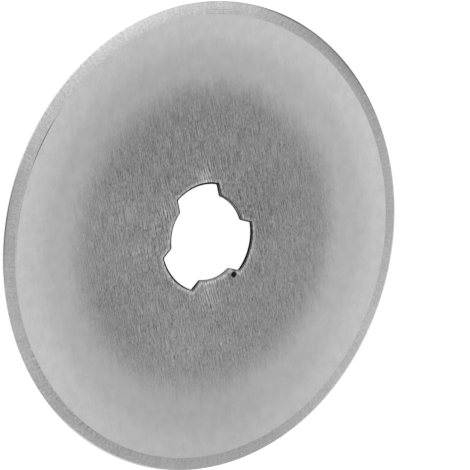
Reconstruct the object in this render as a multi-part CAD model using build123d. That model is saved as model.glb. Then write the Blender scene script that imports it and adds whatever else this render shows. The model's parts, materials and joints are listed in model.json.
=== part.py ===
from build123d import *

import os
from math import hypot, radians, sqrt, tan

# Rotary cutter blade: one thin steel disc with a three-lobed hub hole and an edge ground from both faces.
# It lies flat on its back face. The origin is the centre of that face, and +Z leaves the front face.
# +Y runs through the middle of one lobe of the hub hole. Sizes are millimetres and degrees.

# Blank: the round of strip steel that everything else is cut into.
blade_diameter = 45.0
sheet_thickness = 0.30

# Ground band: both faces fall away, tangent to the flat web, as far as the grind line.
band_width = 7.3
band_relief = 0.015

# Cutting bevel: a long primary bevel, then a short, blunter honed bevel that carries the sharp edge.
bevel_width = 1.20
hone_width = 0.08
hone_half_angle = 12.0

# Hub hole: a round bore with parallel-sided lobes cut into it. Between the lobes stand the lands.
lobe_count = 3
land_diameter = 8.2
lobe_diameter = 10.3
lobe_width = 4.7
land_corner_radius = 0.30
lobe_corner_radius = 0.20

# Punched rim: the die rolls the front rim of the hole over, and leaves the back rim square.
die_roll_radius = 0.08

# Pit in the front face beside one lobe, and the nick that runs from it into that lobe.
pit_diameter = 0.62
pit_depth = 0.07
pit_from_flank = 0.49
pit_below_lobe_top = 0.56
nick_width = 0.22
nick_depth = 0.05

# Places that follow from the sizes above.
edge_radius = blade_diameter / 2
grind_line_radius = edge_radius - bevel_width
web_radius = grind_line_radius - band_width
hone_radius = edge_radius - hone_width
mid_height = sheet_thickness / 2
hone_half_thickness = hone_width * tan(radians(hone_half_angle))
land_radius = land_diameter / 2
lobe_radius = lobe_diameter / 2
lobe_half_width = lobe_width / 2

# A lobe's straight side runs from its foot on the land to its top on the lobe's arc.
flank_foot = sqrt(land_radius**2 - lobe_half_width**2)
flank_top = sqrt(lobe_radius**2 - lobe_half_width**2)
most_corner_radius = (flank_top - flank_foot) / 2.2


def front_line():
    """The front face in section, from the axis out to the cutting edge."""
    web_end = (web_radius, sheet_thickness)
    grind_line = (grind_line_radius, sheet_thickness - band_relief)
    hone_line = (hone_radius, mid_height + hone_half_thickness)
    cutting_edge = (edge_radius, mid_height)
    web = Line((0, sheet_thickness), web_end)
    band = TangentArc(web_end, grind_line, tangent=(1, 0))
    bevels = Polyline(grind_line, hone_line, cutting_edge)
    return web + band + bevels


def ground_disc():
    """The blank with its ground bands and its double bevel, before the hole is punched."""
    front = front_line()
    back = mirror(front, about=Plane.XZ.offset(-mid_height))
    axis_line = Line((0, 0), (0, sheet_thickness))
    section = make_face(front.edges() + back.edges() + axis_line.edges())
    return revolve(Plane.XZ * section, Axis.Z)


def hub_hole_outline():
    """The bore and its lobes, the first along +Y, with the corners of the punch rounded."""
    lobe = Circle(lobe_radius) & Pos(lobe_radius / 2, 0) * Rectangle(lobe_radius, lobe_width)
    sharp = Circle(land_radius)
    for turn in range(lobe_count):
        sharp += Rot(0, 0, 90 + turn * 360 / lobe_count) * lobe

    halfway = (land_radius + lobe_radius) / 2
    land_corners = [v for v in sharp.vertices() if hypot(v.X, v.Y) < halfway]
    outline = fillet(land_corners, min(land_corner_radius, most_corner_radius))
    lobe_corners = [v for v in outline.vertices() if hypot(v.X, v.Y) > halfway]
    return fillet(lobe_corners, min(lobe_corner_radius, most_corner_radius))


def punch_hub_hole(disc):
    """Cuts the hub hole through the disc and rolls its front rim over."""
    punched = disc - extrude(hub_hole_outline(), sheet_thickness)
    rim_reach = lobe_radius + die_roll_radius
    front_rim = [
        edge
        for edge in punched.edges().filter_by_position(Axis.Z, mid_height, sheet_thickness)
        if edge.bounding_box().min.Z > mid_height
        and hypot(edge.center().X, edge.center().Y) < rim_reach
    ]
    return fillet(front_rim, die_roll_radius)


def add_pit(disc):
    """Sinks the round pit beside the +Y lobe, and the nick that joins it to the lobe's side."""
    pit_x = lobe_half_width + pit_from_flank
    pit_y = flank_top - pit_below_lobe_top
    ball_radius = ((pit_diameter / 2) ** 2 + pit_depth**2) / (2 * pit_depth)
    ball = Pos(pit_x, pit_y, sheet_thickness - pit_depth + ball_radius) * Sphere(ball_radius)
    nick = Pos(lobe_half_width, pit_y, sheet_thickness) * Box(2 * pit_from_flank, nick_width, 2 * nick_depth)
    return disc - ball - nick


blade = add_pit(punch_hub_hole(ground_disc()))
blade.label = "blade"

os.makedirs("parts", exist_ok=True)
export_step(blade, "parts/blade.step")

print("volume", round(blade.volume, 3), "mm3, size", blade.bounding_box().size)
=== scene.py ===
import json
from math import asin, cos, pi, radians, sin, sqrt, tan

import bmesh
import bpy
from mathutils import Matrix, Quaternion, Vector


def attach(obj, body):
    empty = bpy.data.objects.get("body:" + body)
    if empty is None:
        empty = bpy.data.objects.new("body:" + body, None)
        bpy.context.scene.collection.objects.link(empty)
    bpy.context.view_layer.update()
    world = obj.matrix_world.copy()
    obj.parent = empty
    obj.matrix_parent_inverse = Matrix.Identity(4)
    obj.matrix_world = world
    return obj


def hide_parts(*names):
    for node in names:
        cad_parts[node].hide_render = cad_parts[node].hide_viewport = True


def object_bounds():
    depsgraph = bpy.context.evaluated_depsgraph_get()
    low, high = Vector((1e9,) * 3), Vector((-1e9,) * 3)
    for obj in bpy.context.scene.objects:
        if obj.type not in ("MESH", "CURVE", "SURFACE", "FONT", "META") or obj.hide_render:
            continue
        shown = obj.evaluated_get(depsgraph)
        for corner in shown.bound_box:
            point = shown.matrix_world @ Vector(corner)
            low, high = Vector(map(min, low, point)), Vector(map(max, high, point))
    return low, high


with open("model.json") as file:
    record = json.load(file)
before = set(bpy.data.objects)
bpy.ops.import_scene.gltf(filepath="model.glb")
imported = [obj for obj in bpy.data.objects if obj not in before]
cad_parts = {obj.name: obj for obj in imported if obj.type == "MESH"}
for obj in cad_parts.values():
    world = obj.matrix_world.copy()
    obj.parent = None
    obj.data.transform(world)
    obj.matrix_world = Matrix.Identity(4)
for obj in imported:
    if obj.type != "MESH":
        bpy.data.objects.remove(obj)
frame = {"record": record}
cad_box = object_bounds()

# Rotary cutter blade: a steel disc that lies on its back face, with its front face up.
# The metal is modelled at a unit to the millimetre, because a rim of a few hundredths of a millimetre
# is too fine for the modelling tools in metres, and is brought to metres when its shape is done.
MM = 0.001

hub_hole = next(mount for mount in frame["record"]["mounts"] if mount["name"] == "hub_hole")
sheet_thickness = cad_box[1].z / MM
edge_radius = cad_box[1].x / MM
land_radius = hub_hole["dims"]["r_mm"]
shear_height = hub_hole["dims"]["length_mm"]

# Edge, in millimetres, as in the solids.
bevel_width = 1.20
hone_width = 0.08
hone_half_angle = 12.0
band_width = 7.3
band_relief = 0.015

# Hub hole, in millimetres.
lobe_count = 3
lobe_radius = 5.15
lobe_width = 4.7
land_corner_radius = 0.30
lobe_corner_radius = 0.20

# Pit beside the +Y lobe, in millimetres.
pit_diameter = 0.62
pit_depth = 0.07
pit_from_flank = 0.49
pit_below_lobe_top = 0.56
nick_width = 0.22
nick_depth = 0.05

# Places that follow from those sizes.
half_thickness = sheet_thickness / 2
die_roll_radius = sheet_thickness - shear_height
grind_line_radius = edge_radius - bevel_width
web_radius = grind_line_radius - band_width
hone_radius = edge_radius - hone_width
hone_half_thickness = hone_width * tan(radians(hone_half_angle))
lobe_half_width = lobe_width / 2
pit_x = lobe_half_width + pit_from_flank
pit_y = sqrt(lobe_radius**2 - lobe_half_width**2) - pit_below_lobe_top

# How finely the round shapes are cut.
rim_steps = 480
punch_steps = 72
corner_steps = 5
roll_steps = 4
pit_steps = 64
band_rings = 8

# How edges and faces are told apart: by their angle, and by how near they lie to a ring or to a flat face,
# in millimetres. A face is a wall when its normal leans up by less than wall_lean.
square_corner = radians(60)
sharp_corner = radians(30)
faint_corner = radians(5)
near_ring = 0.002
near_flat = 0.0005
below_flat = 0.001
pit_margin = 0.01
wall_lean = 0.3

# A patch is a soft round place on the blade, in millimetres: its centre, its reach, and how much it changes
# whatever it lies on. A fade is two distances in millimetres: what it belongs to is there in full as far as
# the first, and has gone by the second.

# Rolled face, in millimetres: its scratches run at the grain's angle from +X and are worn away outwards,
# over scratch_fade, as the lap brightens the face from lap_start to lap_end. A tone is the colour at a
# radius.
grain_direction = radians(27)
scratch_width = 0.080
short_scratch = 0.36
long_scratch = 1.9
long_scratch_share = 0.8
scratch_fade = (11.0, 16.5)
deep_scratches = 2.75
worn_scratches = 0.20
scratch_relief = 0.002
strain_patches = [((0, 0), 10.0, 2.0)]
mottle_width = 1.1
mottle_strength = 0.18
speckle_width = 0.20
speckle_strength = 0.20
darkest_streak = 0.2
web_roughness = 0.42
band_roughness = 0.34
lap_start = 12.0
lap_end = 21.3
lap_unevenness = 1.0
lap_cloud_width = 4.0
lap_fringe = 1.4
lap_streak_length = 2.6
lap_streak_width = 0.5
lap_tones = [
    (12.2, "#888888"),
    (13.3, "#8D8D8D"),
    (14.0, "#959595"),
    (15.6, "#A8A8A8"),
    (16.4, "#ACACAC"),
    (17.7, "#AFAFAF"),
    (19.3, "#BABABA"),
    (20.6, "#BFBFBF"),
]
film_colour = "#9D9D9D"
film_patches = [((17.5, 5.5), 17.5, 0.31), ((-9.0, 12.0), 22.0, -0.22)]
tone_and_glint_patches = [
    ((-8.0, -10.0), 17.0, -0.10),
    ((4.0, 13.0), 9.5, 0.08),
    ((13.0, -13.0), 9.0, 0.05),
    ((-2.5, 11.5), 7.0, 0.10),
    ((1.0, -9.5), 7.0, 0.09),
    ((9.8, -9.5), 7.0, -0.08),
    ((-11.2, 6.2), 5.0, 0.09),
    ((-3.8, 5.0), 5.0, -0.09),
    ((11.2, 10.0), 5.0, 0.06),
    ((10.6, 0.1), 3.5, 0.08),
    ((6.2, 7.5), 5.0, -0.05),
    ((-7.8, 9.8), 3.5, 0.08),
    ((4.8, 1.2), 1.4, 0.20),
    ((4.1, 2.0), 0.9, 0.10),
    ((-5.55, -2.05), 1.15, 0.34),
    ((3.15, 3.65), 0.5, -0.28),
    ((2.86, 3.22), 0.35, -0.30),
    # Painted highlight: a glint on the pit's lit rim.
    ((3.13, 3.82), 0.22, 0.50),
    ((2.5, 3.3), 0.45, 0.45),
]

# Hatching that the punch left beside the hole, in millimetres. Its lines wander, and darken the face where
# its wave is under hatch_middle.
hatch_direction = radians(34)
hatch_length = 2.4
hatch_pitch = 0.275
hatch_wander = 5.0
hatch_middle = 0.35
hatch_patches = [((5.4, 1.7), 2.0, 1.0), ((-5.8, -2.1), 1.8, 1.0), ((-1.6, -5.3), 1.7, 1.0)]

# Rim of the hub hole, in millimetres out from its outline: a clean lip in places, a dark line of painted
# shade that gets fainter from -Y to +Y over its strength fade, and past it a ring of painted highlight.
rim_lip_fade = (0.04, 0.08)
rim_shade_fade = (0.12, 0.17)
rim_highlight_fade = (0.23, 0.58)
shade_strength_fade = (-1.0, 1.5)
faint_shade_strength = 0.7
highlight_brightness = 0.65
bright_land = (3.6, 2.1)
grey_land = (-3.6, 1.9)
chipped_corner = (2.52, 3.22)
lip_patches = [(bright_land, 3.0, 1.1), (grey_land, 3.6, 1.0), (chipped_corner, 0.8, 0.9)]
wide_shade_patches = [
    ((-4.3, -1.6), 3.4, -0.05),
    ((1.3, -4.2), 1.6, -0.03),
    ((3.9, -3.1), 2.8, -0.045),
    (grey_land, 3.6, -0.03),
]
faint_shade_patches = [
    (bright_land, 3.4, -0.9),
    ((4.1, 0.7), 1.2, -0.5),
    ((5.1, -0.6), 0.9, -0.7),
    ((-0.6, -4.1), 2.6, -0.35),
    (chipped_corner, 0.65, -0.9),
    ((2.45, 4.5), 0.5, -0.6),
]
dull_highlight_patches = [(grey_land, 4.6, -0.6), ((-2.0, -4.4), 3.5, -0.3)]

# Wall of the hub hole, in millimetres up from the back face: the punch tore it, but sheared it clean above
# the fracture along two lands and at a chipped corner, and left a bright burr at the foot of one land.
tears_per_mm = 6
fracture_fade = (0.17, 0.23)
burr_fade = (0.08, 0.12)
burnished_patches = [(bright_land, 2.6, 1.0), (grey_land, 3.2, 0.6), (chipped_corner, 0.65, 1.0)]
burr_patches = [(bright_land, 2.6, 1.0)]

# Black in the pit, in millimetres: it fills the pit and stops short of the nick.
pit_grit_per_mm = 9
pit_black_patches = [((pit_x + 0.05, pit_y), 0.60 * pit_diameter, 5.0)]

# Groove that the grinding wheel left just inside the grind line, in millimetres. It fades to both sides of
# its middle.
groove_inset = 0.09
groove_fade = (0.02, 0.07)
groove_patches = [((-5.4, -20.5), 4.2, 0.85), ((1.5, -21.2), 8.0, 0.36)]

# Ground bevel, in millimetres: the wheel's marks are drawn as coarse as they need to be to show. Its bright
# and dark stretches round the edge are painted reflection. A tilt makes the edge side brighter than the
# inner side, or darker. Levels are where a noise starts to count, and where it counts in full.
mark_width = 0.20
mark_lean = 0.15
chatter_width = 1.8
chatter_strength = 0.6
grit_width = 0.25
grit_strength = 2.1
mark_relief = 0.003
bevel_shade_level = 0.98
bevel_tilt = 0.08
notch_width = 0.34
notch_length = 0.75
notch_levels = (0.47, 0.68)
notch_cluster_levels = (0.44, 0.60)
turned_line_pitch = 0.19
turned_line_fade = (0.35, 0.75)
wire_width = 0.10
grit_patches = [((19.0, -11.0), 12.0, 1.2)]
# Painted reflection: these patches brighten and darken stretches of the bevel as the lamps' reflection in
# it would.
painted_reflection_patches = [
    ((-18.7, 11.4), 16.0, -0.17),
    ((3.6, -21.6), 12.0, -0.16),
    ((-17.9, -12.7), 22.0, 0.26),
    ((5.6, 21.2), 15.0, 0.14),
    ((-21.7, -2.6), 6.0, 0.10),
]
tilt_patches = [((-17.5, -12.5), 13.0, 0.2), ((-18.5, 10.7), 13.0, -0.38), ((0.8, -21.5), 9.0, -0.2)]
notch_patches = [((18.4, -11.2), 13.0, 0.75)]
turned_line_patches = [((-21.2, -4.3), 2.6, 0.45)]
dark_wire_patches = [
    ((-19.2, 11.7), 7.5, 0.975),
    ((-22.2, 3.7), 5.5, 0.975),
    ((3.0, -22.3), 7.5, 0.975),
]
bright_wire_patches = [((21.7, -5.4), 10.0, 1.0), ((8.0, 21.0), 12.0, 1.0)]

# Stage and light. Lengths are in metres here, and the floor glows only to the camera and in the metal.
floor_size = 4
floor_gap = 0.01 * MM
floor_glow = 1.1
glow_share = 0.8
world_strength = 0.88
lamp_distance = 0.5


# Modelling helpers

def deselect_everything():
    """Clears the selection, so that an operator acts on the piece in hand alone."""
    for thing in bpy.context.selected_objects:
        thing.select_set(False)


def take_up(piece):
    """Makes a piece the only one that is selected, and the active one."""
    deselect_everything()
    piece.select_set(True)
    bpy.context.view_layer.objects.active = piece


def edit(piece):
    """Opens a piece in edit mode with nothing selected in it."""
    take_up(piece)
    bpy.ops.object.mode_set(mode="EDIT")
    bpy.ops.mesh.select_all(action="DESELECT")


def pick(piece, kind, test):
    """Selects the open piece's verts, edges or faces that pass a test, and nothing else."""
    bpy.ops.mesh.select_mode(type={"verts": "VERT", "edges": "EDGE", "faces": "FACE"}[kind])
    bpy.ops.mesh.select_all(action="DESELECT")
    mesh = bmesh.from_edit_mesh(piece.data)
    for element in getattr(mesh, kind):
        if test(element):
            element.select_set(True)
    bmesh.update_edit_mesh(piece.data)


def close_edit():
    """Turns all the faces outwards and goes back to object mode."""
    bpy.ops.mesh.select_all(action="SELECT")
    bpy.ops.mesh.normals_make_consistent(inside=False)
    bpy.ops.object.mode_set(mode="OBJECT")


def apply_modifier(piece, kind, **settings):
    """Adds a modifier to a piece and applies it."""
    take_up(piece)
    modifier = piece.modifiers.new(kind.lower(), kind)
    for name, value in settings.items():
        setattr(modifier, name, value)
    bpy.ops.object.modifier_apply(modifier=modifier.name)


def combine(piece, tool, operation):
    """Cuts, joins or crosses a piece with a tool, and clears the tool away."""
    apply_modifier(piece, "BOOLEAN", object=tool, operation=operation, solver="EXACT")
    bpy.data.objects.remove(tool)


def radius_of(place):
    """Distance of a place from the blade's axis."""
    return place.xy.length


# The blade's metal

def draw_ring_in(from_radius, to_radius, rise):
    """Extrudes the selected ring of edges to a smaller radius and a new height."""
    scale = to_radius / from_radius
    bpy.ops.mesh.extrude_edges_move()
    bpy.ops.transform.resize(value=(scale, scale, 1))
    bpy.ops.transform.translate(value=(0, 0, rise))


def front_rings():
    """Radius and height above mid-plane of each ring of the front face, from the cutting edge inwards."""
    rings = [(edge_radius, 0), (hone_radius, hone_half_thickness)]
    for ring in range(band_rings + 1):
        share = 1 - ring / band_rings
        rings.append((web_radius + share * band_width, half_thickness - band_relief * share**2))
    rings.append(((web_radius + lobe_radius) / 2, half_thickness))
    return rings


def turn_disc():
    """The disc before the hole is punched: its front drawn in ring by ring, then mirrored to the back."""
    rings = front_rings()
    deselect_everything()
    bpy.ops.mesh.primitive_circle_add(vertices=rim_steps, radius=edge_radius)
    disc = bpy.context.object
    edit(disc)
    bpy.ops.mesh.select_all(action="SELECT")
    for (last_radius, last_height), (radius, height) in zip(rings, rings[1:]):
        draw_ring_in(last_radius, radius, height - last_height)
    bpy.ops.mesh.edge_face_add()
    close_edit()
    apply_modifier(disc, "MIRROR", use_axis=(False, False, True), merge_threshold=0.0001)
    edit(disc)
    close_edit()
    return disc


def cylinder(radius, depth, phase):
    """A many-sided cylinder on the axis, with its first corner turned by phase from +Y."""
    deselect_everything()
    bpy.ops.mesh.primitive_cylinder_add(
        vertices=punch_steps, radius=radius, depth=depth, rotation=(0, 0, phase)
    )
    bpy.ops.object.transform_apply(rotation=True)
    return bpy.context.object


def lobe_punch(turn, depth):
    """One lobe of the punch: a slice of the lobes' circle between two parallel sides."""
    lobe = cylinder(lobe_radius, depth, 0)
    deselect_everything()
    bpy.ops.mesh.primitive_cube_add(
        size=1, location=(0, lobe_radius, 0), scale=(lobe_width, 2 * lobe_radius, 2 * depth)
    )
    combine(lobe, bpy.context.object, "INTERSECT")
    lobe.rotation_euler.z = turn
    return lobe


def round_corners(punch, near_radius, corner_radius):
    """Rounds the punch's upright corners that stand at one radius."""
    corner_angle = pi / 2 - asin(lobe_half_width / near_radius)
    edit(punch)
    pick(
        punch,
        "edges",
        lambda edge: abs(edge.verts[0].co.z - edge.verts[1].co.z) > half_thickness
        and abs(radius_of(edge.verts[0].co) - near_radius) < die_roll_radius
        and edge.calc_face_angle(0) > sharp_corner,
    )
    bpy.ops.mesh.bevel(offset=corner_radius * tan(corner_angle / 2), segments=corner_steps, affect="EDGES")
    close_edit()


def make_punch():
    """The tool that leaves the hub hole: a round core and its lobes, with rounded corners."""
    depth = 4 * sheet_thickness
    half_step = pi / punch_steps
    punch = cylinder(land_radius, depth, half_step)
    for lobe in range(lobe_count):
        combine(punch, lobe_punch(lobe * 2 * pi / lobe_count, depth), "UNION")
    round_corners(punch, land_radius, land_corner_radius)
    round_corners(punch, lobe_radius, lobe_corner_radius)
    return punch


def roll_rim(blade):
    """Rolls the hole's front rim over, as the punch drew it down."""
    edit(blade)
    pick(
        blade,
        "edges",
        lambda edge: all(v.co.z > half_thickness - die_roll_radius / 2 for v in edge.verts)
        and all(radius_of(v.co) < lobe_radius + die_roll_radius for v in edge.verts)
        and edge.calc_face_angle(0) > square_corner,
    )
    bpy.ops.mesh.bevel(offset=die_roll_radius, segments=roll_steps, affect="EDGES", clamp_overlap=False)
    close_edit()


def sink_pit(blade):
    """Sinks the round pit beside the +Y lobe, and the nick that joins it to the lobe's side."""
    ball_radius = ((pit_diameter / 2) ** 2 + pit_depth**2) / (2 * pit_depth)
    ball_height = half_thickness - pit_depth + ball_radius
    deselect_everything()
    bpy.ops.mesh.primitive_uv_sphere_add(
        segments=pit_steps, ring_count=pit_steps, radius=ball_radius, location=(pit_x, pit_y, ball_height)
    )
    combine(blade, bpy.context.object, "DIFFERENCE")
    deselect_everything()
    bpy.ops.mesh.primitive_cube_add(
        size=1,
        location=(lobe_half_width, pit_y, half_thickness),
        scale=(2 * pit_from_flank, nick_width, 2 * nick_depth),
    )
    combine(blade, bpy.context.object, "DIFFERENCE")


def is_real_corner(edge):
    """Whether an edge is a real corner: on one of the blade's rings, at an angle, or round a flat face."""
    ring_radii = (grind_line_radius, hone_radius, edge_radius)
    if any(all(abs(radius_of(v.co) - ring) < near_ring for v in edge.verts) for ring in ring_radii):
        return True
    angle = edge.calc_face_angle(0)
    on_flat = all(abs(abs(v.co.z) - half_thickness) < near_flat for v in edge.verts)
    return angle > sharp_corner or (on_flat and angle > faint_corner)


def crease(blade):
    """Marks the blade's real corners sharp, so that the smooth faces beside them stay smooth."""
    edit(blade)
    pick(blade, "edges", is_real_corner)
    bpy.ops.mesh.mark_sharp()
    close_edit()


def make_blade():
    """The whole blade, in metres, lying on its back face."""
    blade = turn_disc()
    combine(blade, make_punch(), "DIFFERENCE")
    roll_rim(blade)
    sink_pit(blade)
    crease(blade)
    take_up(blade)
    bpy.ops.object.shade_smooth()
    blade.name = blade.data.name = "steel_blade"
    blade.location.z = half_thickness * MM
    blade.scale = (MM, MM, MM)
    bpy.ops.object.transform_apply(location=True, rotation=True, scale=True)
    return blade


# Finishes

def linear(hex_colour):
    """An sRGB hex colour as the linear RGBA that a shader takes."""
    channels = [int(hex_colour[i : i + 2], 16) / 255 for i in (1, 3, 5)]
    return [c / 12.92 if c <= 0.04045 else ((c + 0.055) / 1.055) ** 2.4 for c in channels] + [1.0]


def new_material(name):
    """An empty material with its shader, as (material, tree, shader)."""
    material = bpy.data.materials.new(name)
    material.use_nodes = True
    tree = material.node_tree
    return material, tree, tree.nodes["Principled BSDF"]


def add(tree, kind, settings=(), links=()):
    """Adds a node with its settings, and feeds its inputs with values or with other nodes' outputs."""
    node = tree.nodes.new(kind)
    for name, value in dict(settings).items():
        setattr(node, name, value)
    for socket, source in dict(links).items():
        if isinstance(source, bpy.types.NodeSocket):
            tree.links.new(source, node.inputs[socket])
        else:
            node.inputs[socket].default_value = source
    return node


def fill_ramp(ramp, start, end, stops):
    """Gives a colour ramp its stops, each a place between start and end with the colour there."""
    colours = [((place - start) / (end - start), linear(hex_colour)) for place, hex_colour in stops]
    ramp.elements[0].position, ramp.elements[0].color = colours[0]
    ramp.elements[1].position, ramp.elements[1].color = colours[-1]
    for position, colour in colours[1:-1]:
        ramp.elements.new(position).color = colour


def place_in_mm(tree):
    """A surface point's place across the blade, in millimetres."""
    place = add(tree, "ShaderNodeTexCoord").outputs["Object"]
    return add(
        tree, "ShaderNodeVectorMath", {"operation": "MULTIPLY"}, {0: place, 1: (1 / MM, 1 / MM, 0)}
    ).outputs[0]


def distance_from_axis(tree, flat):
    """How far a place across the blade is from the axis."""
    return add(tree, "ShaderNodeVectorMath", {"operation": "LENGTH"}, {0: flat}).outputs["Value"]


def fade(tree, distance, near, far):
    """1 as far as the near distance, then falling softly to 0 at the far one."""
    return add(
        tree,
        "ShaderNodeMapRange",
        {"interpolation_type": "SMOOTHSTEP"},
        {"Value": distance, "From Min": near, "From Max": far, "To Min": 1.0, "To Max": 0.0},
    ).outputs[0]


def change_in_patches(tree, flat, number, patches):
    """A number that patches raise or lower, in full at their centres and not at all past their reach."""
    for centre, reach, change in patches:
        away = add(
            tree, "ShaderNodeVectorMath", {"operation": "DISTANCE"}, {0: flat, 1: (*centre, 0)}
        ).outputs["Value"]
        share = fade(tree, away, 0.0, reach)
        number = add(
            tree, "ShaderNodeMath", {"operation": "MULTIPLY_ADD"}, {0: share, 1: change, 2: number}
        ).outputs[0]
    return number


def grain(tree, flat, length, width, detail):
    """Noise drawn out along the grain, as 0.5 more or less."""
    along = add(
        tree,
        "ShaderNodeMapping",
        {"vector_type": "TEXTURE"},
        {"Vector": flat, "Rotation": (0, 0, grain_direction), "Scale": (length, width, 1)},
    ).outputs[0]
    return add(
        tree, "ShaderNodeTexNoise", {}, {"Vector": along, "Scale": 1.0, "Detail": detail, "Roughness": 0.75}
    ).outputs["Fac"]


# Finish of the two faces

def lapped_radius(tree, flat, radius):
    """The radius, shifted: the lap fades out unevenly inwards, and stops in streaks along the grain."""
    cloud = add(
        tree, "ShaderNodeTexNoise", {}, {"Vector": flat, "Scale": 1 / lap_cloud_width, "Detail": 3.0}
    ).outputs["Fac"]
    fringe = grain(tree, flat, lap_streak_length, lap_streak_width, 2.0)
    shifted = add(
        tree, "ShaderNodeMath", {"operation": "SUBTRACT"}, {0: radius, 1: (lap_unevenness + lap_fringe) / 2}
    ).outputs[0]
    shifted = add(
        tree, "ShaderNodeMath", {"operation": "MULTIPLY_ADD"}, {0: cloud, 1: lap_unevenness, 2: shifted}
    ).outputs[0]
    return add(
        tree, "ShaderNodeMath", {"operation": "MULTIPLY_ADD"}, {0: fringe, 1: lap_fringe, 2: shifted}
    ).outputs[0]


def rolling_scratches(tree, flat):
    """Rolling leaves scratches along one direction, short ones and long ones, as 0 more or less."""
    short = grain(tree, flat, short_scratch, scratch_width, 3.0)
    long = grain(tree, flat, long_scratch, scratch_width, 2.0)
    short = add(tree, "ShaderNodeMath", {"operation": "SUBTRACT"}, {0: short, 1: 0.5}).outputs[0]
    long = add(tree, "ShaderNodeMath", {"operation": "SUBTRACT"}, {0: long, 1: 0.5}).outputs[0]
    return add(
        tree, "ShaderNodeMath", {"operation": "MULTIPLY_ADD"}, {0: long, 1: long_scratch_share, 2: short}
    ).outputs[0]


def scratch_depth(tree, flat, worn_radius):
    """The lap wears the scratches away, and they are deepest where the punch strained the metal."""
    start, end = scratch_fade
    depth = add(
        tree,
        "ShaderNodeMapRange",
        {"interpolation_type": "SMOOTHSTEP"},
        {
            "Value": worn_radius,
            "From Min": start,
            "From Max": end,
            "To Min": deep_scratches,
            "To Max": worn_scratches,
        },
    ).outputs[0]
    return change_in_patches(tree, flat, depth, strain_patches)


def punch_hatching(tree, flat):
    """The punch pulled the metal about: a hatching of lines flares in three places beside the hole."""
    # The wave texture repeats 20 times in 2 pi units.
    wave_repeat = 2 * pi / 20
    lines = add(
        tree,
        "ShaderNodeMapping",
        {"vector_type": "TEXTURE"},
        {
            "Vector": flat,
            "Rotation": (0, 0, hatch_direction),
            "Scale": (hatch_length, hatch_pitch / wave_repeat, 1),
        },
    ).outputs[0]
    lines = add(
        tree,
        "ShaderNodeTexWave",
        {"bands_direction": "Y"},
        {"Vector": lines, "Scale": 1.0, "Distortion": hatch_wander, "Detail": 2.0, "Detail Scale": 1.6},
    ).outputs["Fac"]
    lines = add(tree, "ShaderNodeMath", {"operation": "SUBTRACT"}, {0: lines, 1: hatch_middle}).outputs[0]
    share = change_in_patches(tree, flat, 0.0, hatch_patches)
    return add(tree, "ShaderNodeMath", {"operation": "MULTIPLY"}, {0: lines, 1: share}).outputs[0]


def uneven_tone(tree, flat, lap, tone):
    """A tone with mottling all over and a fine speckle where the lap has been: the strip was never even."""
    mottle = add(
        tree, "ShaderNodeTexNoise", {}, {"Vector": flat, "Scale": 1 / mottle_width, "Detail": 1.0}
    ).outputs["Fac"]
    mottle = add(tree, "ShaderNodeMath", {"operation": "SUBTRACT"}, {0: mottle, 1: 0.5}).outputs[0]
    tone = add(
        tree, "ShaderNodeMath", {"operation": "MULTIPLY_ADD"}, {0: mottle, 1: mottle_strength, 2: tone}
    ).outputs[0]
    speckle = add(
        tree, "ShaderNodeTexNoise", {}, {"Vector": flat, "Scale": 1 / speckle_width, "Detail": 2.0}
    ).outputs["Fac"]
    speckle = add(tree, "ShaderNodeMath", {"operation": "SUBTRACT"}, {0: speckle, 1: 0.5}).outputs[0]
    speckle = add(tree, "ShaderNodeMath", {"operation": "MULTIPLY"}, {0: speckle, 1: lap}).outputs[0]
    return add(
        tree, "ShaderNodeMath", {"operation": "MULTIPLY_ADD"}, {0: speckle, 1: speckle_strength, 2: tone}
    ).outputs[0]


def sideways_from_lobe(tree, flat, radius):
    """How far a place is to the side of the nearest lobe's middle line, in millimetres."""
    parts = add(tree, "ShaderNodeSeparateXYZ", {}, {0: flat})
    angle = add(
        tree, "ShaderNodeMath", {"operation": "ARCTAN2"}, {0: parts.outputs["Y"], 1: parts.outputs["X"]}
    ).outputs[0]
    from_top = add(tree, "ShaderNodeMath", {"operation": "SUBTRACT"}, {0: angle, 1: pi / 2}).outputs[0]
    half_turn = pi / lobe_count
    from_lobe = add(
        tree, "ShaderNodeMath", {"operation": "WRAP"}, {0: from_top, 1: half_turn, 2: -half_turn}
    ).outputs[0]
    sideways = add(tree, "ShaderNodeMath", {"operation": "SINE"}, {0: from_lobe}).outputs[0]
    sideways = add(tree, "ShaderNodeMath", {"operation": "MULTIPLY"}, {0: radius, 1: sideways}).outputs[0]
    return add(tree, "ShaderNodeMath", {"operation": "ABSOLUTE"}, {0: sideways}).outputs[0]


def gap_to_hole(tree, flat, radius):
    """How far a place is outside the hub hole's outline, in millimetres."""
    sideways = sideways_from_lobe(tree, flat, radius)
    past_flank = add(
        tree, "ShaderNodeMath", {"operation": "SUBTRACT"}, {0: sideways, 1: lobe_half_width}
    ).outputs[0]
    past_tip = add(
        tree, "ShaderNodeMath", {"operation": "SUBTRACT"}, {0: radius, 1: lobe_radius}
    ).outputs[0]
    past_lobe = add(
        tree, "ShaderNodeMath", {"operation": "MAXIMUM"}, {0: past_flank, 1: past_tip}
    ).outputs[0]
    past_land = add(
        tree, "ShaderNodeMath", {"operation": "SUBTRACT"}, {0: radius, 1: land_radius}
    ).outputs[0]
    return add(tree, "ShaderNodeMath", {"operation": "MINIMUM"}, {0: past_land, 1: past_lobe}).outputs[0]


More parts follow.
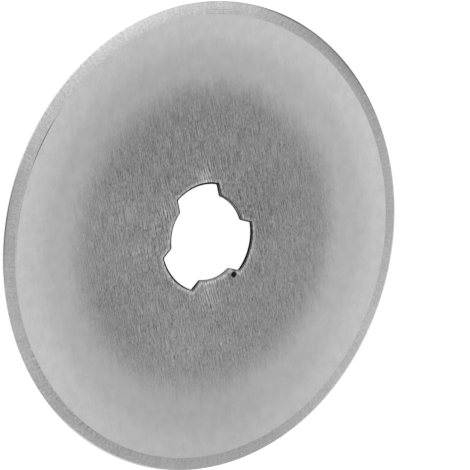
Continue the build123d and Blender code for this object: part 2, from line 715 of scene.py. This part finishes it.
def rim_line(tree, flat, gap):
    """The rim's dark line of painted shade, 1 in the middle of it where it is strongest and 0 off it."""
    line = fade(tree, change_in_patches(tree, flat, gap, wide_shade_patches), *rim_shade_fade)
    sides = add(tree, "ShaderNodeSeparateXYZ", {}, {0: flat}).outputs["Y"]
    strength = fade(tree, sides, *shade_strength_fade)
    strength = add(
        tree,
        "ShaderNodeMath",
        {"operation": "MULTIPLY_ADD"},
        {0: strength, 1: 1 - faint_shade_strength, 2: faint_shade_strength},
    ).outputs[0]
    strength = change_in_patches(tree, flat, strength, faint_shade_patches)
    strength = add(tree, "ShaderNodeMath", {"operation": "MAXIMUM"}, {0: strength, 1: 0.0}).outputs[0]
    return add(tree, "ShaderNodeMath", {"operation": "MULTIPLY"}, {0: line, 1: strength}).outputs[0]


def share_past_lip(tree, flat, gap):
    """How much of the painted shade line a clean lip leaves: none on the lip, and all of it past the lip.
    """
    lip = fade(tree, gap, *rim_lip_fade)
    cleaned = change_in_patches(tree, flat, 0.0, lip_patches)
    lip = add(tree, "ShaderNodeMath", {"operation": "MULTIPLY"}, {0: lip, 1: cleaned}).outputs[0]
    share = add(tree, "ShaderNodeMath", {"operation": "SUBTRACT"}, {0: 1.0, 1: lip}).outputs[0]
    return add(tree, "ShaderNodeMath", {"operation": "MAXIMUM"}, {0: share, 1: 0.0}).outputs[0]


def painted_highlight_ring(tree, flat, gap):
    """What the ring past the dark line, a painted highlight, does to the face's tone."""
    ring = add(
        tree,
        "ShaderNodeMath",
        {"operation": "SUBTRACT"},
        {0: fade(tree, gap, *rim_highlight_fade), 1: fade(tree, gap, *rim_shade_fade)},
    ).outputs[0]
    # Painted highlight: how bright the ring past the shade line is painted.
    brightening = change_in_patches(tree, flat, highlight_brightness, dull_highlight_patches)
    return add(
        tree, "ShaderNodeMath", {"operation": "MULTIPLY_ADD"}, {0: ring, 1: brightening, 2: 1.0}
    ).outputs[0]


def hole_rim(tree, flat, radius):
    """What the rim does to the face's tone: a dark line of painted shade, and past that a ring of painted
    highlight.
    """
    gap = gap_to_hole(tree, flat, radius)
    line = add(
        tree,
        "ShaderNodeMath",
        {"operation": "MULTIPLY"},
        {0: rim_line(tree, flat, gap), 1: share_past_lip(tree, flat, gap)},
    ).outputs[0]
    line = add(tree, "ShaderNodeMath", {"operation": "SUBTRACT"}, {0: 1.0, 1: line}).outputs[0]
    ring = painted_highlight_ring(tree, flat, gap)
    return add(tree, "ShaderNodeMath", {"operation": "MULTIPLY"}, {0: line, 1: ring}).outputs[0]


def grind_groove(tree, flat, radius):
    """What the grinding wheel's fine dark groove, along one short stretch, does to the face's tone."""
    away = add(
        tree, "ShaderNodeMath", {"operation": "SUBTRACT"}, {0: radius, 1: grind_line_radius - groove_inset}
    ).outputs[0]
    away = add(tree, "ShaderNodeMath", {"operation": "ABSOLUTE"}, {0: away}).outputs[0]
    groove = fade(tree, away, *groove_fade)
    depth = change_in_patches(tree, flat, 0.0, groove_patches)
    groove = add(tree, "ShaderNodeMath", {"operation": "MULTIPLY"}, {0: groove, 1: depth}).outputs[0]
    return add(tree, "ShaderNodeMath", {"operation": "SUBTRACT"}, {0: 1.0, 1: groove}).outputs[0]


def lapped_tone(tree, flat, lap):
    """The face's colour by how far it is lapped, with a dull film on one side and a cleaner far side."""
    tone = add(tree, "ShaderNodeValToRGB", {}, {"Fac": lap})
    fill_ramp(tone.color_ramp, lap_start, lap_end, lap_tones)
    film = change_in_patches(tree, flat, 0.0, film_patches)
    return add(
        tree,
        "ShaderNodeMix",
        {"data_type": "RGBA", "clamp_factor": False},
        {"Factor": film, "A": tone.outputs["Color"], "B": linear(film_colour)},
    ).outputs["Result"]


def rolled_and_lapped_steel():
    """Both faces: cold-rolled strip, dull grey with a straight grain, lapped brighter towards the edge."""
    material, tree, shader = new_material("rolled_and_lapped_steel")
    flat = place_in_mm(tree)
    radius = distance_from_axis(tree, flat)
    worn_radius = lapped_radius(tree, flat, radius)
    lap = add(
        tree, "ShaderNodeMapRange", {}, {"Value": worn_radius, "From Min": lap_start, "From Max": lap_end}
    ).outputs[0]

    scratches = rolling_scratches(tree, flat)
    depth = scratch_depth(tree, flat, worn_radius)
    streak = add(
        tree, "ShaderNodeMath", {"operation": "MULTIPLY_ADD"}, {0: scratches, 1: depth, 2: 1.0}
    ).outputs[0]
    hatch = punch_hatching(tree, flat)
    streak = add(tree, "ShaderNodeMath", {"operation": "ADD"}, {0: streak, 1: hatch}).outputs[0]
    streak = uneven_tone(tree, flat, lap, streak)

    # Soft patches darken it in some places and lighten it in others; one small one beside the pit is a
    # painted highlight, a glint on the pit's rim.
    streak = change_in_patches(tree, flat, streak, tone_and_glint_patches)
    streak = add(
        tree, "ShaderNodeMath", {"operation": "MAXIMUM"}, {0: streak, 1: darkest_streak}
    ).outputs[0]
    for part in (hole_rim(tree, flat, radius), grind_groove(tree, flat, radius)):
        streak = add(tree, "ShaderNodeMath", {"operation": "MULTIPLY"}, {0: streak, 1: part}).outputs[0]

    tone = lapped_tone(tree, flat, lap)
    colour = add(
        tree, "ShaderNodeVectorMath", {"operation": "SCALE"}, {0: tone, "Scale": streak}
    ).outputs[0]
    roughness = add(
        tree, "ShaderNodeMapRange", {}, {"Value": lap, "To Min": web_roughness, "To Max": band_roughness}
    ).outputs[0]
    bump = add(
        tree, "ShaderNodeBump", {}, {"Height": scratches, "Strength": 0.5, "Distance": scratch_relief * MM}
    )
    tree.links.new(colour, shader.inputs["Base Color"])
    tree.links.new(roughness, shader.inputs["Roughness"])
    tree.links.new(bump.outputs[0], shader.inputs["Normal"])
    shader.inputs["Metallic"].default_value = 1.0
    return material


# Finish of the bevel

def leaning_place(tree, outward, radius):
    """Where a place is round the edge, on a circle of radius 1, turned on outwards as the marks lean."""
    lean = add(
        tree, "ShaderNodeMath", {"operation": "SUBTRACT"}, {0: radius, 1: grind_line_radius}
    ).outputs[0]
    lean = add(
        tree, "ShaderNodeMath", {"operation": "MULTIPLY"}, {0: lean, 1: mark_lean / edge_radius}
    ).outputs[0]
    return add(
        tree, "ShaderNodeVectorRotate", {"rotation_type": "Z_AXIS"}, {"Vector": outward, "Angle": lean}
    ).outputs[0]


def marks_round_edge(tree, leant, width):
    """Noise with marks of one width round the edge, as 0.5 more or less."""
    return add(
        tree, "ShaderNodeTexNoise", {}, {"Vector": leant, "Scale": edge_radius / width, "Detail": 2.0}
    ).outputs["Fac"]


def grinding_height(tree, flat, leant, chatter):
    """What the wheel left on the bevel: fine marks across it, slow chatter, and grit that tore it."""
    height = marks_round_edge(tree, leant, mark_width)
    grit = add(
        tree,
        "ShaderNodeTexNoise",
        {},
        {"Vector": flat, "Scale": 1 / grit_width, "Detail": 2.0, "Roughness": 0.7},
    ).outputs["Fac"]
    gritty = change_in_patches(tree, flat, grit_strength, grit_patches)
    for pattern, share in ((chatter, chatter_strength), (grit, gritty)):
        pattern = add(tree, "ShaderNodeMath", {"operation": "SUBTRACT"}, {0: pattern, 1: 0.5}).outputs[0]
        height = add(
            tree, "ShaderNodeMath", {"operation": "MULTIPLY_ADD"}, {0: pattern, 1: share, 2: height}
        ).outputs[0]
    return height


def bevel_shade(tree, flat, radius):
    """How bright the bevel is: painted reflection makes some stretches brighter and others darker, and in
    places it is brighter or darker towards the edge.
    """
    across = add(
        tree,
        "ShaderNodeMapRange",
        {},
        {
            "Value": radius,
            "From Min": grind_line_radius,
            "From Max": edge_radius,
            "To Min": -0.5,
            "To Max": 0.5,
        },
    ).outputs[0]
    shade = change_in_patches(tree, flat, bevel_shade_level, painted_reflection_patches)
    tilt = change_in_patches(tree, flat, bevel_tilt, tilt_patches)
    return add(
        tree, "ShaderNodeMath", {"operation": "MULTIPLY_ADD"}, {0: across, 1: tilt, 2: shade}
    ).outputs[0]


def notch_comb(tree, flat, radius, leant, chatter):
    """Along one stretch the wheel bit in: clusters of short dark notches start at the grind line."""
    notches = marks_round_edge(tree, leant, notch_width)
    comb = change_in_patches(tree, flat, 0.0, notch_patches)
    for pattern, (start, end) in ((notches, notch_levels), (chatter, notch_cluster_levels)):
        part = add(
            tree, "ShaderNodeMapRange", {}, {"Value": pattern, "From Min": start, "From Max": end}
        ).outputs[0]
        comb = add(tree, "ShaderNodeMath", {"operation": "MULTIPLY"}, {0: comb, 1: part}).outputs[0]
    inner = fade(tree, radius, grind_line_radius, grind_line_radius + notch_length)
    return add(tree, "ShaderNodeMath", {"operation": "MULTIPLY"}, {0: comb, 1: inner}).outputs[0]


def turned_lines(tree, flat, radius):
    """Along another stretch it left three fine dark lines that follow the edge."""
    near, far = turned_line_fade
    turns = add(
        tree, "ShaderNodeMath", {"operation": "MULTIPLY"}, {0: radius, 1: 2 * pi / turned_line_pitch}
    ).outputs[0]
    turns = add(tree, "ShaderNodeMath", {"operation": "SINE"}, {0: turns}).outputs[0]
    for part in (
        fade(tree, radius, grind_line_radius + near, grind_line_radius + far),
        change_in_patches(tree, flat, 0.0, turned_line_patches),
    ):
        turns = add(tree, "ShaderNodeMath", {"operation": "MULTIPLY"}, {0: turns, 1: part}).outputs[0]
    return turns


def wire_edge(tree, flat, radius, patches):
    """The very edge, in the patches where the hone left it darker or brighter."""
    wire = fade(tree, radius, hone_radius - wire_width, hone_radius)
    wire = add(tree, "ShaderNodeMath", {"operation": "SUBTRACT"}, {0: 1.0, 1: wire}).outputs[0]
    share = change_in_patches(tree, flat, 0.0, patches)
    return add(tree, "ShaderNodeMath", {"operation": "MULTIPLY"}, {0: wire, 1: share}).outputs[0]


def marked_tone(tree, flat, radius, leant, chatter, tone):
    """A tone with the dark notches, lines and stretches of the edge on it, and its bright stretches."""
    dark = wire_edge(tree, flat, radius, dark_wire_patches)
    for marked in (notch_comb(tree, flat, radius, leant, chatter), turned_lines(tree, flat, radius)):
        dark = add(tree, "ShaderNodeMath", {"operation": "MAXIMUM"}, {0: dark, 1: marked}).outputs[0]
    bright = wire_edge(tree, flat, radius, bright_wire_patches)
    for share, colour in ((dark, "#5A5A5A"), (bright, "#DADADA")):
        tone = add(
            tree, "ShaderNodeMix", {"data_type": "RGBA"}, {"Factor": share, "A": tone, "B": linear(colour)}
        ).outputs["Result"]
    return tone


def ground_bevel_steel():
    """The bevel: ground dry across its width, so it shines along the edge and is crossed by fine marks."""
    material, tree, shader = new_material("ground_bevel_steel")
    flat = place_in_mm(tree)
    radius = distance_from_axis(tree, flat)
    outward = add(tree, "ShaderNodeVectorMath", {"operation": "NORMALIZE"}, {0: flat}).outputs[0]
    along_edge = add(
        tree, "ShaderNodeVectorMath", {"operation": "CROSS_PRODUCT"}, {0: (0, 0, 1), 1: outward}
    ).outputs[0]

    leant = leaning_place(tree, outward, radius)
    chatter = marks_round_edge(tree, leant, chatter_width)
    height = grinding_height(tree, flat, leant, chatter)
    tone = add(
        tree,
        "ShaderNodeMix",
        {"data_type": "RGBA", "clamp_factor": False},
        {"Factor": height, "A": linear("#9A9A9A"), "B": linear("#B5B5B5")},
    ).outputs["Result"]
    # Painted reflection: the shade brightens and darkens stretches of the bevel round the edge.
    shade = bevel_shade(tree, flat, radius)
    tone = add(tree, "ShaderNodeVectorMath", {"operation": "SCALE"}, {0: tone, "Scale": shade}).outputs[0]
    tone = marked_tone(tree, flat, radius, leant, chatter, tone)

    bump = add(
        tree, "ShaderNodeBump", {}, {"Height": height, "Strength": 0.5, "Distance": mark_relief * MM}
    )
    tree.links.new(tone, shader.inputs["Base Color"])
    tree.links.new(bump.outputs[0], shader.inputs["Normal"])
    tree.links.new(along_edge, shader.inputs["Tangent"])
    shader.inputs["Metallic"].default_value = 1.0
    shader.inputs["Roughness"].default_value = 0.30
    shader.inputs["Anisotropic"].default_value = 0.7
    return material


# Finishes of the hole and the pit

def clean_share(tree, place):
    """How far the wall is light and not torn: sheared clean above the fracture, or a burr at its foot."""
    flat = place_in_mm(tree)
    height = add(tree, "ShaderNodeSeparateXYZ", {}, {0: place}).outputs["Z"]
    fracture = fade(tree, height, *(up * MM for up in fracture_fade))
    clean = add(tree, "ShaderNodeMath", {"operation": "SUBTRACT"}, {0: 1.0, 1: fracture}).outputs[0]
    share = change_in_patches(tree, flat, 0.0, burnished_patches)
    share = add(tree, "ShaderNodeMath", {"operation": "MULTIPLY"}, {0: share, 1: clean}).outputs[0]
    burr = fade(tree, height, *(up * MM for up in burr_fade))
    brightening = change_in_patches(tree, flat, 0.0, burr_patches)
    return add(
        tree, "ShaderNodeMath", {"operation": "MULTIPLY_ADD"}, {0: burr, 1: brightening, 2: share}
    ).outputs[0]


def sheared_steel():
    """The hole's wall and rolled rim: torn, dull and painted nearly black as the shade in the hole, but
    clean and light in places.
    """
    material, tree, shader = new_material("sheared_steel")
    place = add(tree, "ShaderNodeTexCoord").outputs["Object"]
    tears = add(
        tree, "ShaderNodeTexNoise", {}, {"Vector": place, "Scale": tears_per_mm / MM, "Detail": 3.0}
    ).outputs["Fac"]
    tones = []
    # The first pair, for the torn wall, is nearly black: dull torn steel with painted shade from inside the
    # hole.
    for dark, light in (("#010101", "#060606"), ("#8A8A8A", "#E0E0E0")):
        mixed = add(
            tree,
            "ShaderNodeMix",
            {"data_type": "RGBA"},
            {"Factor": tears, "A": linear(dark), "B": linear(light)},
        )
        tones.append(mixed.outputs["Result"])
    torn_and_shaded, burnished = tones
    share = clean_share(tree, place)
    tone = add(
        tree, "ShaderNodeMix", {"data_type": "RGBA"}, {"Factor": share, "A": torn_and_shaded, "B": burnished}
    ).outputs["Result"]
    tree.links.new(tone, shader.inputs["Base Color"])
    # The specular tint is greyed, so that the wall's painted shade doesn't brighten where the eye meets it
    # at a slant.
    shader.inputs["Specular Tint"].default_value = linear("#707070")
    shader.inputs["Metallic"].default_value = 1.0
    shader.inputs["Roughness"].default_value = 0.5
    return material


def burnt_pit_scale():
    """The pit: black and gritty at its bottom, without gloss, and greyer along the nick."""
    material, tree, shader = new_material("burnt_pit_scale")
    flat = place_in_mm(tree)
    grit = add(
        tree, "ShaderNodeTexNoise", {}, {"Vector": flat, "Scale": pit_grit_per_mm, "Detail": 2.0}
    ).outputs["Fac"]
    scale = add(
        tree,
        "ShaderNodeMix",
        {"data_type": "RGBA"},
        {"Factor": grit, "A": linear("#0C0C0C"), "B": linear("#303030")},
    ).outputs["Result"]
    in_pit = change_in_patches(tree, flat, 0.0, pit_black_patches)
    tone = add(
        tree, "ShaderNodeMix", {"data_type": "RGBA"}, {"Factor": in_pit, "A": linear("#787878"), "B": scale}
    ).outputs["Result"]
    tree.links.new(tone, shader.inputs["Base Color"])
    shader.inputs["Metallic"].default_value = 1.0
    shader.inputs["Roughness"].default_value = 0.8
    return material


def finish_faces(blade):
    """Gives each face of the blade the finish of the tool that made it."""
    finishes = (rolled_and_lapped_steel(), ground_bevel_steel(), sheared_steel(), burnt_pit_scale())
    for material in finishes:
        blade.data.materials.append(material)
    bevel, wall, pit = 1, 2, 3
    for face in blade.data.polygons:
        centre = face.center / MM
        depth = half_thickness - abs(centre.z - half_thickness)
        from_pit = (centre.xy - Vector((pit_x, pit_y))).length
        in_front = centre.z > half_thickness
        beside_hole = radius_of(centre) < lobe_radius + pit_from_flank
        if radius_of(centre) > grind_line_radius:
            face.material_index = bevel
        elif from_pit < pit_from_flank and below_flat < depth < pit_depth + pit_margin and in_front:
            face.material_index = pit
        elif beside_hole and depth > below_flat and face.normal.z < wall_lean:
            face.material_index = wall


# Stage, light and camera

def make_floor():
    """A pale floor just under the blade, white to the camera and in the metal, that keeps a soft shadow."""
    deselect_everything()
    bpy.ops.mesh.primitive_plane_add(size=floor_size, location=(0, 0, -floor_gap))
    floor = bpy.context.object
    floor.name = "floor"
    material, tree, shader = new_material("pale_floor")
    shader.inputs["Base Color"].default_value = linear("#E8E8E8")
    shader.inputs["Roughness"].default_value = 0.9
    rays = add(tree, "ShaderNodeLightPath")
    seen = rays.outputs["Is Camera Ray"]
    for ray in ("Is Glossy Ray", "Is Transmission Ray"):
        seen = add(
            tree, "ShaderNodeMath", {"operation": "MAXIMUM"}, {0: seen, 1: rays.outputs[ray]}
        ).outputs[0]
    glow = add(tree, "ShaderNodeEmission", {}, {"Color": linear("#FFFFFF"), "Strength": floor_glow})
    share = add(tree, "ShaderNodeMath", {"operation": "MULTIPLY"}, {0: seen, 1: glow_share}).outputs[0]
    mixed = add(tree, "ShaderNodeMixShader", {}, {0: share, 1: shader.outputs[0], 2: glow.outputs[0]})
    tree.links.new(mixed.outputs[0], tree.nodes["Material Output"].inputs["Surface"])
    floor.data.materials.append(material)


def light_world():
    """Even white light from all round."""
    world = bpy.data.worlds.new("studio")
    bpy.context.scene.world = world
    world.use_nodes = True
    background = world.node_tree.nodes["Background"]
    background.inputs["Color"].default_value = linear("#FFFFFF")
    background.inputs["Strength"].default_value = world_strength


def add_softbox(name, direction, side, radiance):
    """A square lamp that faces the blade from a direction."""
    deselect_everything()
    bpy.ops.object.light_add(type="AREA", location=Vector(direction).normalized() * lamp_distance)
    lamp = bpy.context.object
    lamp.name = name
    lamp.data.shape = "SQUARE"
    lamp.data.size = side
    lamp.data.energy = radiance * pi * side**2
    lamp.rotation_mode = "QUATERNION"
    lamp.rotation_quaternion = Vector(direction).to_track_quat("Z", "Y")


def place_camera():
    """The photograph's viewpoint: a long lens that looks down from in front, rolled onto its side."""
    aim = Vector((-0.846, 3.283, 0)) * MM
    distance = 319.34 * MM
    azimuth, elevation, roll = radians(-1.478), radians(53.671), radians(104.835)
    back = Vector((sin(azimuth) * cos(elevation), -cos(azimuth) * cos(elevation), sin(elevation)))
    bpy.ops.object.camera_add(location=aim + back * distance)
    camera = bpy.context.object
    camera.data.lens = 256.08
    camera.data.sensor_width = 36
    camera.rotation_mode = "QUATERNION"
    camera.rotation_quaternion = back.to_track_quat("Z", "Y") @ Quaternion((0, 0, 1), roll)
    bpy.context.scene.camera = camera


blade = make_blade()
finish_faces(blade)
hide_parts("blade")
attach(blade, "root")

make_floor()
light_world()
add_softbox("overhead_softbox", (-0.15, 0.12, 0.98), 0.18, 2.0)
add_softbox("back_softbox", (-0.10, 0.91, 0.40), 0.18, 1.4)
add_softbox("front_softbox", (0.34, -0.23, 0.91), 0.30, 1.2)
place_camera()
bpy.context.scene.view_settings.view_transform = "Standard"
